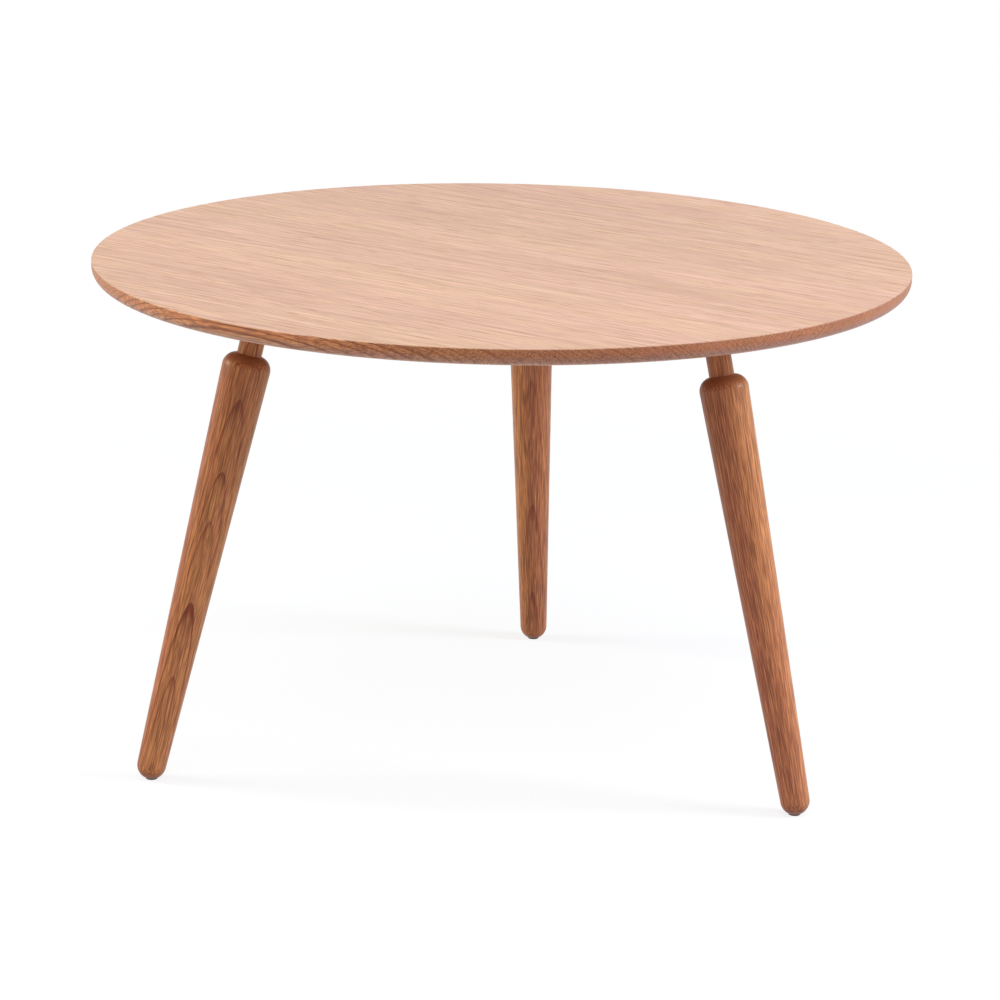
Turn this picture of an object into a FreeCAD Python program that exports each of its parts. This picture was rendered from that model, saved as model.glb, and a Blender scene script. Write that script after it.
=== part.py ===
import FreeCAD, Part
import math
import os

from FreeCAD import Vector

# Round cocktail table: a solid oak top on a three-armed underframe, with three splayed turned legs.
# Millimetres, +Z up. The origin is on the floor under the centre of the top, and one leg stands at +Y.

# Top
TABLE_HEIGHT = 470.0
TOP_DIAMETER = 762.0
TOP_THICKNESS = 16.0
ARRIS_CHAMFER = 0.8  # on the upper edge of the rim
UNDER_EDGE_ROUND = 10.5  # from the side of the rim down to the underside
STAVE_WIDTH = 137.0
SEAM_OFFSET = 130.0  # from the front of the rim to the first glue line, across the grain
GRAIN_ANGLE = -30.0  # direction of the staves, parallel to one rail

# Legs
LEG_COUNT = 3
FIRST_LEG_ANGLE = 90.0
LEG_SPLAY = 13.9  # degrees from upright
TENON_CIRCLE_DIAMETER = 471.0  # through the leg axes, at the underside of the top
SHOULDER_DIAMETER = 45.0
SHOULDER_ROUND = 13.0
NECK_DIAMETER = 23.0
NECK_LENGTH = 28.0  # between the rail and the shoulder, along the leg
FOOT_DIAMETER = 27.0  # of the ball that ends the foot

# Underframe
RAIL_WIDTH = 46.0
RAIL_DEPTH = 30.0
RAIL_END_WALL = 20.0  # wood between the tenon and the rail's outer end
RAIL_END_CHAMFER = 12.0  # on the lower outer end
RAIL_ARRIS = 2.0  # round on the lower edges
TENON_CLEARANCE = 0.1  # glue line round the tenon

# Wedges in the tenons
WEDGE_THICKNESS = 3.0  # at the top of the tenon
WEDGE_TIP = 1.0
WEDGE_LENGTH = 20.0
KERF_RELIEF = 2.0  # saw cut left empty below the wedge

# Dowels across the mitres of the underframe
DOWEL_DIAMETER = 6.0
DOWEL_LENGTH = 30.0
DOWEL_DISTANCE = 14.0  # from the centre of the underframe
DOWEL_SPACING = 13.0  # between the upper and the lower one
DOWEL_CHAMFER = 0.8
DOWEL_CLEARANCE = 0.1
DOWEL_END_GAP = 0.5

# Screws from the rails into the top
SCREW_DIAMETER = 4.5
SCREW_BITE = 10.0  # into the top
SCREW_TIP_LENGTH = 3.0
SCREW_HEAD_DIAMETER = 9.0
SCREW_HEAD_HEIGHT = 3.5
SCREW_HEAD_ROUND = 1.5
SCREW_RECESS_WIDTH = 1.1  # of each arm of the cross
SCREW_RECESS_SPAN = 5.0
SCREW_RECESS_DEPTH = 2.0
SCREW_CLEARANCE = 0.1
INNER_SCREW_RADIUS = 72.0  # from the centre of the table
OUTER_SCREW_SPACING = 85.0  # from the tenon's axis, at the rail's lower face
SLOT_TRAVEL = 4.0  # room for the top to move along the rail
COUNTERBORE_DEPTH = 14.0
COUNTERBORE_CLEARANCE = 1.0  # round the washer
WASHER_DIAMETER = 12.0
WASHER_THICKNESS = 1.0

# Glides under the feet
GLIDE_DIAMETER = 11.0
GLIDE_THICKNESS = 2.5
GLIDE_PROUD = 1.5  # below the foot, which is sawn level there
GLIDE_CLEARANCE = 0.1  # round the part that is let into the foot
GLIDE_ROUND = 0.6
NAIL_DIAMETER = 1.8
NAIL_LENGTH = 15.0  # above the glide
NAIL_HEAD_DIAMETER = 5.0
NAIL_HEAD_HEIGHT = 0.8
NAIL_HEAD_COVER = 0.9  # glide left under the nail's head
NAIL_CLEARANCE = 0.1

# Worked out from the sizes above
UNDERSIDE = TABLE_HEIGHT - TOP_THICKNESS
RAIL_BOTTOM = UNDERSIDE - RAIL_DEPTH
SPLAY_SLOPE = math.tan(math.radians(LEG_SPLAY))
SPLAY_COSINE = math.cos(math.radians(LEG_SPLAY))
MITRE_ANGLE = math.radians(180.0 / LEG_COUNT)
LEG_ANGLES = [FIRST_LEG_ANGLE + 360.0 * k / LEG_COUNT for k in range(LEG_COUNT)]
OVERRUN = 10.0  # how far cutting solids reach past the face they open
TOLERANCE = 1e-6  # for telling whether two coordinates are the same

Z_AXIS = Vector(0, 0, 1)


def axis_radius(height):
    """Distance of a leg's axis from the table's centre line, at a height above the floor."""
    return TENON_CIRCLE_DIAMETER / 2 + (UNDERSIDE - height) * SPLAY_SLOPE


def turned(points_and_arcs):
    """Solid turned about Z. Each item is the next outline point, or the middle and end of an arc."""
    start = points_and_arcs[0]
    edges = []
    here = start
    for item in points_and_arcs[1:] + [start]:
        if len(item) == 4:
            middle, end = item[:2], item[2:]
            edges.append(Part.Arc(*[Vector(r, 0, z) for r, z in (here, middle, end)]).toShape())
        else:
            end = item
            edges.append(Part.makeLine(Vector(here[0], 0, here[1]), Vector(end[0], 0, end[1])))
        here = end
    return Part.Face(Part.Wire(edges)).revolve(Vector(0, 0, 0), Z_AXIS, 360)


def prism(outline, direction):
    """Solid made by moving a closed outline of points along a direction."""
    return Part.Face(Part.makePolygon(outline + outline[:1])).extrude(direction)


def quarter(centre_r, centre_z, radius, start_angle, end_angle):
    """Middle and end of an arc, as an item for turned()."""
    middle = math.radians((start_angle + end_angle) / 2)
    end = math.radians(end_angle)
    return (
        centre_r + radius * math.cos(middle),
        centre_z + radius * math.sin(middle),
        centre_r + radius * math.cos(end),
        centre_z + radius * math.sin(end),
    )


def upright(shape, angle):
    """Copy of a shape turned about the table's centre line."""
    copy = shape.copy()
    copy.rotate(Vector(0, 0, 0), Z_AXIS, angle)
    return copy


def along_leg(shape):
    """Copy of a shape made along Z, leant inwards onto the leg's axis. Its z = 0 goes to the floor."""
    copy = shape.copy()
    copy.rotate(Vector(0, 0, 0), Vector(0, 1, 0), -LEG_SPLAY)
    copy.translate(Vector(axis_radius(0), 0, 0))
    return copy


def above(height):
    """Block that holds everything above a height, for trimming a leg."""
    reach = TOP_DIAMETER + TENON_CIRCLE_DIAMETER + TABLE_HEIGHT
    return Part.makeBox(2 * reach, 2 * reach, reach, Vector(-reach, -reach, height))


def slot(width, length, x, bottom, height):
    """Upright slot, long along X, centred at x."""
    reach = (length - width) / 2
    middle = Part.makeBox(2 * reach, width, height, Vector(x - reach, -width / 2, bottom))
    ends = [Part.makeCylinder(width / 2, height, Vector(x + side, 0, bottom)) for side in (-reach, reach)]
    return middle.multiFuse(ends).removeSplitter()


# Top

def table_disc():
    """The whole top: flat faces, a small chamfer on the upper edge and a large round below."""
    radius = TOP_DIAMETER / 2
    under_centre = UNDERSIDE + UNDER_EDGE_ROUND
    return turned([
        (0, UNDERSIDE),
        (radius - UNDER_EDGE_ROUND, UNDERSIDE),
        quarter(radius - UNDER_EDGE_ROUND, under_centre, UNDER_EDGE_ROUND, -90, 0),
        (radius, TABLE_HEIGHT - ARRIS_CHAMFER),
        (radius - ARRIS_CHAMFER, TABLE_HEIGHT),
        (0, TABLE_HEIGHT),
    ])


def stave_edges():
    """Glue lines across the grain, as distances from the centre, with the rim at both ends."""
    radius = TOP_DIAMETER / 2
    last_place = radius - UNDER_EDGE_ROUND
    seam = SEAM_OFFSET - radius
    edges = [-radius]
    while seam < last_place:
        edges.append(seam)
        seam += STAVE_WIDTH
    return edges + [radius]


def staves():
    """Boards of the top, from front to back, with the pilot holes of the screws."""
    disc = table_disc()
    pilots = [upright(pilot_hole(x), angle) for angle in LEG_ANGLES for x in screw_places()]
    holes = Part.makeCompound(pilots)
    left_end = -TOP_DIAMETER / 2
    edges = stave_edges()
    boards = []
    for front, back in zip(edges, edges[1:]):
        slab = Part.makeBox(TOP_DIAMETER, back - front, TOP_THICKNESS, Vector(left_end, front, UNDERSIDE))
        boards.append(disc.common(upright(slab, GRAIN_ANGLE)).cut(holes))
    return boards


# Legs

def neck_start():
    """Distance along the leg's axis from the floor to the top of the shoulder."""
    return RAIL_BOTTOM / SPLAY_COSINE - NECK_LENGTH


def leg_blank():
    """The turned leg along Z, left long above, with a ball end that reaches down to the floor."""
    neck_radius = NECK_DIAMETER / 2
    shoulder_radius = SHOULDER_DIAMETER / 2
    foot_radius = FOOT_DIAMETER / 2
    round_centre = shoulder_radius - SHOULDER_ROUND
    round_rise = math.sqrt(SHOULDER_ROUND ** 2 - (neck_radius - round_centre) ** 2)
    shoulder_z = neck_start() - round_rise
    neck_angle = math.degrees(math.atan2(round_rise, neck_radius - round_centre))
    foot_z = foot_radius / SPLAY_COSINE
    top_z = UNDERSIDE / SPLAY_COSINE + NECK_DIAMETER
    return turned([
        (0, foot_z - foot_radius),
        quarter(0, foot_z, foot_radius, -90, 0),
        (shoulder_radius, shoulder_z),
        quarter(round_centre, shoulder_z, SHOULDER_ROUND, 0, neck_angle),
        (neck_radius, top_z),
        (0, top_z),
    ])


def wedge_blank(relief):
    """Wedge across the tenon, along Z and left long above it, with an empty saw cut below where asked."""
    top = UNDERSIDE / SPLAY_COSINE
    tip = top - WEDGE_LENGTH
    over = NECK_DIAMETER
    thickness_over = WEDGE_THICKNESS + (WEDGE_THICKNESS - WEDGE_TIP) * over / WEDGE_LENGTH
    side = [
        (WEDGE_TIP / 2, tip - relief),
        (WEDGE_TIP / 2, tip),
        (thickness_over / 2, top + over),
    ]
    if relief == 0:
        side = side[1:]
    outline = side + [(-x, z) for x, z in reversed(side)]
    return prism([Vector(x, -NECK_DIAMETER, z) for x, z in outline], Vector(0, 2 * NECK_DIAMETER, 0))


def leg():
    """A finished leg at angle 0: tenon and foot sawn level, kerf, glide seat and nail hole cut."""
    blank = leg_blank().cut(wedge_blank(KERF_RELIEF))
    standing = along_leg(blank).common(above(GLIDE_PROUD)).cut(above(UNDERSIDE))
    return standing.cut(glide_seat()).cut(nail(NAIL_CLEARANCE))


def tenon_wedge():
    """The wedge at angle 0, as wide as its tenon and flush with the rail."""
    tenon = Part.makeCylinder(NECK_DIAMETER / 2, 2 * TABLE_HEIGHT)
    return along_leg(wedge_blank(0).common(tenon)).cut(above(UNDERSIDE))


# Underframe

def screw_places():
    """Distances of a rail's screws from the centre of the table."""
    return [INNER_SCREW_RADIUS, axis_radius(RAIL_BOTTOM) - OUTER_SCREW_SPACING]


def rail_body():
    """A rail at angle 0 before drilling: mitred at the centre, chamfered under its outer end."""
    half = RAIL_WIDTH / 2
    mitre = half / math.tan(MITRE_ANGLE)
    end = axis_radius(RAIL_BOTTOM) + NECK_DIAMETER / 2 / SPLAY_COSINE + RAIL_END_WALL
    plan = [(0, 0), (mitre, -half), (end, -half), (end, half), (mitre, half)]
    body = prism([Vector(x, y, RAIL_BOTTOM) for x, y in plan], Vector(0, 0, RAIL_DEPTH))
    corner = [
        (end - RAIL_END_CHAMFER, RAIL_BOTTOM),
        (end, RAIL_BOTTOM),
        (end, RAIL_BOTTOM + RAIL_END_CHAMFER),
    ]
    body = body.cut(prism([Vector(x, -half, z) for x, z in corner], Vector(0, RAIL_WIDTH, 0)))
    return body.makeFillet(RAIL_ARRIS, [edge for edge in body.Edges if is_lower_arris(edge)])


def is_lower_arris(edge):
    """Whether an edge of a rail at angle 0 runs along one of its sides, below the top."""
    first, last = [vertex.Point for vertex in edge.Vertexes]
    on_side = abs(abs(first.y) - RAIL_WIDTH / 2) < TOLERANCE and abs(first.y - last.y) < TOLERANCE
    return on_side and max(first.z, last.z) < UNDERSIDE - TOLERANCE


def rail():
    """A finished rail at angle 0, with its tenon hole, screw slots and dowel holes."""
    hole = Part.makeCylinder(NECK_DIAMETER / 2 + TENON_CLEARANCE, 2 * TABLE_HEIGHT)
    cuts = [along_leg(hole)]
    slot_width = SCREW_DIAMETER + 2 * SCREW_CLEARANCE
    bore_width = WASHER_DIAMETER + 2 * COUNTERBORE_CLEARANCE
    for x in screw_places():
        for width, depth in ((slot_width, RAIL_DEPTH + OVERRUN), (bore_width, COUNTERBORE_DEPTH)):
            cuts.append(slot(width, width + SLOT_TRAVEL, x, RAIL_BOTTOM - OVERRUN, depth + OVERRUN))
    half_turn = 180.0 / LEG_COUNT
    hole_length = DOWEL_LENGTH + 2 * DOWEL_END_GAP
    for angle in (-half_turn, half_turn):
        for height in dowel_heights():
            bore = Part.makeCylinder(DOWEL_DIAMETER / 2 + DOWEL_CLEARANCE, hole_length)
            cuts.append(upright(across_mitre(bore, hole_length, height), angle))
    return rail_body().cut(Part.makeCompound(cuts))


def dowel_heights():
    """Heights of the dowels in a mitre, about the middle of the rails."""
    middle = UNDERSIDE - RAIL_DEPTH / 2
    return [middle - DOWEL_SPACING / 2, middle + DOWEL_SPACING / 2]


def across_mitre(shape, length, height):
    """A shape of a given length along Z, laid square across a mitre whose plane holds the X axis."""
    copy = shape.copy()
    copy.translate(Vector(0, 0, -length / 2))
    copy.rotate(Vector(0, 0, 0), Vector(1, 0, 0), 90)
    copy.translate(Vector(DOWEL_DISTANCE, 0, height))
    return copy


def dowel(height):
    """A chamfered dowel across a mitre."""
    radius = DOWEL_DIAMETER / 2
    peg = turned([
        (0, 0),
        (radius - DOWEL_CHAMFER, 0),
        (radius, DOWEL_CHAMFER),
        (radius, DOWEL_LENGTH - DOWEL_CHAMFER),
        (radius - DOWEL_CHAMFER, DOWEL_LENGTH),
        (0, DOWEL_LENGTH),
    ])
    return across_mitre(peg, DOWEL_LENGTH, height)


# Screws and washers

SEAT = RAIL_BOTTOM + COUNTERBORE_DEPTH  # where the washers bear on the rails


def pilot_hole(x):
    """Hole in the top for a screw, as deep as its point."""
    radius = SCREW_DIAMETER / 2 + SCREW_CLEARANCE
    depth = SCREW_BITE + SCREW_CLEARANCE
    return Part.makeCylinder(radius, depth + OVERRUN, Vector(x, 0, UNDERSIDE - OVERRUN))


def screw(x):
    """A round-headed screw with a cross recess, pointing up."""
    radius = SCREW_DIAMETER / 2
    head_radius = SCREW_HEAD_DIAMETER / 2
    head_top = SEAT - WASHER_THICKNESS
    head_bottom = head_top - SCREW_HEAD_HEIGHT
    point = UNDERSIDE + SCREW_BITE
    body = turned([
        (0, head_bottom),
        (head_radius - SCREW_HEAD_ROUND, head_bottom),
        quarter(head_radius - SCREW_HEAD_ROUND, head_bottom + SCREW_HEAD_ROUND, SCREW_HEAD_ROUND, -90, 0),
        (head_radius, head_top),
        (radius, head_top),
        (radius, point - SCREW_TIP_LENGTH),
        (0, point),
    ])
    arms = [
        Part.makeBox(long, wide, SCREW_RECESS_DEPTH + OVERRUN,
                     Vector(-long / 2, -wide / 2, head_bottom - OVERRUN))
        for long, wide in ((SCREW_RECESS_SPAN, SCREW_RECESS_WIDTH), (SCREW_RECESS_WIDTH, SCREW_RECESS_SPAN))
    ]
    body = body.cut(arms[0].fuse(arms[1]))
    body.translate(Vector(x, 0, 0))
    return body


def washer(x):
    """The washer between a screw's head and the rail."""
    bottom = Vector(x, 0, SEAT - WASHER_THICKNESS)
    disc = Part.makeCylinder(WASHER_DIAMETER / 2, WASHER_THICKNESS, bottom)
    return disc.cut(Part.makeCylinder(SCREW_DIAMETER / 2 + SCREW_CLEARANCE, WASHER_THICKNESS, bottom))


# Glides

def under_foot(shape):
    """A shape made about Z, moved onto the upright line through the ball of the foot at angle 0."""
    shape.translate(Vector(axis_radius(FOOT_DIAMETER / 2), 0, 0))
    return shape


def glide_seat():
    """Space in the foot for the upper part of the glide."""
    radius = GLIDE_DIAMETER / 2 + GLIDE_CLEARANCE
    return under_foot(Part.makeCylinder(radius, GLIDE_THICKNESS + OVERRUN, Vector(0, 0, -OVERRUN)))


def nail(clearance):
    """A glide's nail, upright at angle 0. With a clearance, it is the space that holds the nail."""
    shank = NAIL_DIAMETER / 2
    head = NAIL_HEAD_DIAMETER / 2
    head_top = NAIL_HEAD_COVER + NAIL_HEAD_HEIGHT
    point = GLIDE_THICKNESS + NAIL_LENGTH
    return under_foot(turned([
        (0, NAIL_HEAD_COVER - clearance),
        (head + clearance, NAIL_HEAD_COVER - clearance),
        (head + clearance, head_top + clearance),
        (shank + clearance, head_top + clearance),
        (shank + clearance, point - NAIL_DIAMETER),
        (0, point + clearance),
    ]))


def glide():
    """A moulded glide at angle 0, closed round the head of its nail."""
    radius = GLIDE_DIAMETER / 2
    disc = under_foot(turned([
        (0, 0),
        (radius - GLIDE_ROUND, 0),
        quarter(radius - GLIDE_ROUND, GLIDE_ROUND, GLIDE_ROUND, -90, 0),
        (radius, GLIDE_THICKNESS),
        (0, GLIDE_THICKNESS),
    ]))
    return disc.cut(nail(NAIL_CLEARANCE))


# The whole table

def table():
    """Every node of the table, by name."""
    nodes = {}
    for number, board in enumerate(staves(), 1):
        nodes[f"top_stave_{number}"] = board
    repeated = {
        "leg": leg(),
        "tenon_wedge": tenon_wedge(),
        "underframe_rail": rail(),
        "foot_glide": glide(),
    }
    for name, shape in repeated.items():
        for number, angle in enumerate(LEG_ANGLES, 1):
            nodes[f"{name}_{number}"] = upright(shape, angle)
    half_turn = 180.0 / LEG_COUNT
    groups = {"rail_screws": [], "rail_washers": [], "underframe_dowels": [], "glide_nails": []}
    for angle in LEG_ANGLES:
        groups["rail_screws"] += [upright(screw(x), angle) for x in screw_places()]
        groups["rail_washers"] += [upright(washer(x), angle) for x in screw_places()]
        groups["underframe_dowels"] += [upright(dowel(z), angle + half_turn) for z in dowel_heights()]
        groups["glide_nails"].append(upright(nail(0), angle))
    for name, solids in groups.items():
        nodes[name] = Part.makeCompound(solids)
    return nodes


def main():
    """Write every node to parts/ and print what it holds."""
    os.makedirs("parts", exist_ok=True)
    for name, shape in table().items():
        print(f"{name}: {len(shape.Solids)} solid(s), {shape.Volume:.1f} mm3, valid {shape.isValid()}")
        shape.exportStep(f"parts/{name}.step")


main()
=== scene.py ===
import logging
import math
from dataclasses import dataclass, field
from enum import Enum
from typing import Callable, Iterable, Sequence

import bmesh
import bpy
from mathutils import Euler, Matrix, Vector


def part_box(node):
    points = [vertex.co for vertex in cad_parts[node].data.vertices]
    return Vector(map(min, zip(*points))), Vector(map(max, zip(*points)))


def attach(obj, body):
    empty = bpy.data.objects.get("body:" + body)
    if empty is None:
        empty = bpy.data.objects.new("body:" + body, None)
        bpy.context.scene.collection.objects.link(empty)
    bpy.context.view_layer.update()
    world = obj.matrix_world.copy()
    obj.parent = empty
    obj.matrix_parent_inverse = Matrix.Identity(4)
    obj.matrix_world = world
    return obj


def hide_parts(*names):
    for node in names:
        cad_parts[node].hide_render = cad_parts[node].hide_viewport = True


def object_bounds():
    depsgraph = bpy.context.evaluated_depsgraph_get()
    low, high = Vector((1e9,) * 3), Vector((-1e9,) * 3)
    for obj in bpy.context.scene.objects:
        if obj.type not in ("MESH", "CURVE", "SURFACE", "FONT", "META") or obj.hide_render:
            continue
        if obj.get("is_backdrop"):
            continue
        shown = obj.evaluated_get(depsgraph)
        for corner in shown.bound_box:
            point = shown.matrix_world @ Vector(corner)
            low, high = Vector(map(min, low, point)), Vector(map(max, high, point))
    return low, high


# Looks of the round cocktail table: a top of edge-glued oak boards, three splayed turned legs, the underframe
# that holds them, and the fixings. Metres, +Z up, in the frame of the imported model.

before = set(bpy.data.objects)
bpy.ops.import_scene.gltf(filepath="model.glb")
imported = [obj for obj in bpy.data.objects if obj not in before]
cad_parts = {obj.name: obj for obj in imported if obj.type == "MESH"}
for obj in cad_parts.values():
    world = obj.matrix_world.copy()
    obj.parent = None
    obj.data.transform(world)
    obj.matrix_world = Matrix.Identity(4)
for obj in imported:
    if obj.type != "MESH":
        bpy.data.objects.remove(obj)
CAD_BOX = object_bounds()
BODY = "root"

Colour = tuple[float, float, float]
Triple = tuple[float, float, float]
Span = tuple[float, float]
Outline = list[tuple[float, float]]
Material = bpy.types.Material
Piece = bpy.types.Object
Socket = bpy.types.NodeSocket

STAY = Matrix.Identity(4)  # the place of a piece that is not moved
NEAR = 1e-5  # places that are closer than this count as one
POINT_FINENESS = 20  # how many times finer a point ends than its shank is
MIX_FACTOR, MIX_A, MIX_B, MIX_RESULT = 0, 6, 7, 2  # sockets of a mix node that mixes colours

log = logging.getLogger("cocktail_table")


class Slot(Enum):
    """Material slots of the record."""

    TOP = "oak_top"
    LEG = "oak_leg"
    RAIL = "oak_rail"
    BEECH = "beech"
    ZINC = "zinc_steel"
    GLIDE = "glide"


class Cut(Enum):
    """Ways in which one solid shapes another."""

    AWAY = "DIFFERENCE"
    COMMON = "INTERSECT"


def arc(centre: tuple[float, float], radius: float, start: float, end: float, steps: int) -> Outline:
    """Points of an outline along a round between two angles in degrees, without the first point."""
    angles = [math.radians(start + (end - start) * k / steps) for k in range(1, steps + 1)]
    return [(centre[0] + radius * math.cos(a), centre[1] + radius * math.sin(a)) for a in angles]


class Blank:
    """A piece on the bench, worked with Blender's own operators."""

    def __init__(self, piece: Piece, name: str) -> None:
        """Take up an object and name it."""
        self.piece = piece
        piece.name = name

    @classmethod
    def turn(cls, name: str, outline: Outline, segments: int) -> "Blank":
        """Turn a closed piece about Z: a frustum, then its top face drawn up ring by ring.

        Args:
            name: Name of the new piece.
            outline: Radius and height of each ring, from the lowest.
            segments: Number of sides round the axis.

        Returns:
            The new piece.
        """
        (low_radius, low), (radius, height) = outline[:2]
        bpy.ops.mesh.primitive_cone_add(
            vertices=segments, radius1=low_radius, radius2=radius, depth=height - low,
            end_fill_type="NGON", location=(0, 0, (low + height) / 2))
        blank = cls(bpy.context.active_object, name).settle(STAY)
        mesh = blank.open("FACE")
        top = max(mesh.faces, key=lambda face: face.calc_center_median().z)
        blank.pick(mesh.faces, lambda face: face == top)
        for next_radius, next_height in outline[2:]:
            bpy.ops.mesh.extrude_region_move(TRANSFORM_OT_translate={"value": (0, 0, next_height - height)})
            growth = next_radius / radius
            bpy.ops.transform.resize(value=(growth, growth, 1), center_override=(0, 0, next_height))
            radius, height = next_radius, next_height
        return blank.close()

    @classmethod
    def rod(cls, name: str, radius: float, low: float, high: float, segments: int) -> "Blank":
        """A plain rod about Z, between two heights."""
        return cls.turn(name, [(radius, low), (radius, high)], segments)

    @classmethod
    def block(cls, name: str, low: Sequence[float], high: Sequence[float]) -> "Blank":
        """A square block between its lowest and its highest corner."""
        bpy.ops.mesh.primitive_cube_add(
            size=1, location=(Vector(low) + Vector(high)) / 2, scale=Vector(high) - Vector(low))
        return cls(bpy.context.active_object, name).settle(STAY)

    @classmethod
    def join(cls, name: str, blanks: Sequence["Blank"]) -> "Blank":
        """Gather loose pieces into one.

        Args:
            name: Name of the group.
            blanks: The pieces.

        Returns:
            The group.
        """
        blanks[0].take()
        for blank in blanks:
            blank.piece.select_set(True)
        bpy.ops.object.join()
        return cls(bpy.context.active_object, name)

    def spread(self, name: str, places: Iterable[Matrix]) -> list["Blank"]:
        """Copy the piece to its places, each copy with a mesh of its own, and use it up.

        Args:
            name: Name of the copies, to which their numbers are added.
            places: Where they go.

        Returns:
            The copies.
        """
        copies = []
        for number, place in enumerate(places, 1):
            twin = self.piece.copy()
            twin.data = self.piece.data.copy()
            bpy.context.scene.collection.objects.link(twin)
            copies.append(Blank(twin, f"{name}_{number}").settle(place))
        bpy.data.objects.remove(self.piece)
        return copies

    def take(self) -> None:
        """Select the piece alone and make it the active one."""
        bpy.ops.object.select_all(action="DESELECT")
        self.piece.select_set(True)
        bpy.context.view_layer.objects.active = self.piece

    def open(self, mode: str) -> bmesh.types.BMesh:
        """Open the piece in edit mode with nothing selected.

        Args:
            mode: What is selected there: VERT, EDGE or FACE.

        Returns:
            The mesh as the edit mode holds it.
        """
        self.take()
        bpy.ops.object.mode_set(mode="EDIT")
        bpy.ops.mesh.select_mode(type=mode)
        bpy.ops.mesh.select_all(action="DESELECT")
        return bmesh.from_edit_mesh(self.piece.data)

    def pick(self, parts: Iterable, test: Callable[..., bool]) -> None:
        """Select parts of the open piece.

        Args:
            parts: Its vertices, edges or faces.
            test: Whether one of them is selected.
        """
        for part in parts:
            part.select_set(test(part))
        bmesh.update_edit_mesh(self.piece.data)

    def close(self) -> "Blank":
        """Leave edit mode and return the piece."""
        bpy.ops.object.mode_set(mode="OBJECT")
        return self

    def settle(self, place: Matrix) -> "Blank":
        """Move the piece and put its new place into its mesh.

        Args:
            place: Where its own origin and axes go.

        Returns:
            The piece, at the origin.
        """
        self.take()
        self.piece.matrix_world = place @ self.piece.matrix_world
        bpy.ops.object.transform_apply(location=True, rotation=True, scale=True)
        return self

    def saw(self, point: Sequence[float], normal: Sequence[float]) -> "Blank":
        """Saw the piece along a plane and close the cut.

        Args:
            point: A point of the plane.
            normal: The side of the plane that is dropped.

        Returns:
            The piece.
        """
        self.open("FACE")
        bpy.ops.mesh.select_all(action="SELECT")
        bpy.ops.mesh.bisect(plane_co=point, plane_no=normal, use_fill=True, clear_outer=True)
        return self.close()

    def bevel(self, test: Callable[[bmesh.types.BMEdge], bool], width: float, steps: int) -> None:
        """Chamfer or round the edges that pass a test.

        Args:
            test: Whether an edge is worked.
            width: How far the new faces reach from the edge.
            steps: 1 for a chamfer, more for a round.
        """
        self.pick(self.open("EDGE").edges, test)
        bpy.ops.mesh.bevel(offset=width, offset_type="OFFSET", segments=steps, profile=0.5, affect="EDGES")
        self.close()

    def shape(self, tools: Iterable["Blank"], cut: Cut = Cut.AWAY) -> "Blank":
        """Cut the piece with other solids, which are used up.

        Args:
            tools: The solids that cut it.
            cut: Whether they are taken away, or what is common stays.

        Returns:
            The piece.
        """
        for tool in tools:
            self.take()
            bpy.ops.object.modifier_add(type="BOOLEAN")
            modifier = self.piece.modifiers[-1]
            modifier.object = tool.piece
            modifier.operation = cut.value
            modifier.solver = "EXACT"
            bpy.ops.object.modifier_apply(modifier=modifier.name)
            bpy.data.objects.remove(tool.piece)
        return self

    def smooth(self, angle: float = 35) -> "Blank":
        """Shade the piece smooth, with its large faces kept flat.

        Args:
            angle: Edges that turn by more than this, in degrees, stay sharp.

        Returns:
            The piece.
        """
        self.take()
        bpy.ops.object.shade_smooth_by_angle(angle=math.radians(angle))
        bpy.ops.object.modifier_add(type="WEIGHTED_NORMAL")
        modifier = self.piece.modifiers[-1]
        modifier.keep_sharp = True
        bpy.ops.object.modifier_apply(modifier=modifier.name)
        return self

    def hand_over(self, slot: Slot, material: Material, node: str) -> None:
        """Dress the finished piece and let it stand for its node.

        Args:
            slot: Slot of the record that its finish belongs to; not used.
            material: Its finish.
            node: The node that it stands for.
        """
        piece = self.piece
        piece.data.materials.clear()
        piece.data.materials.append(material)
        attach(piece, BODY)
        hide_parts(node)
        log.info("%s: %d faces, %s", piece.name, len(piece.data.polygons), material.name)


def hand_over_all(blanks: Sequence[Blank], slot: Slot, materials: Iterable[Material], node: str) -> None:
    """Dress finished pieces whose nodes have this name with a number, in their order."""
    for number, (blank, material) in enumerate(zip(blanks, materials), 1):
        blank.hand_over(slot, material, f"{node}_{number}")


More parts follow.
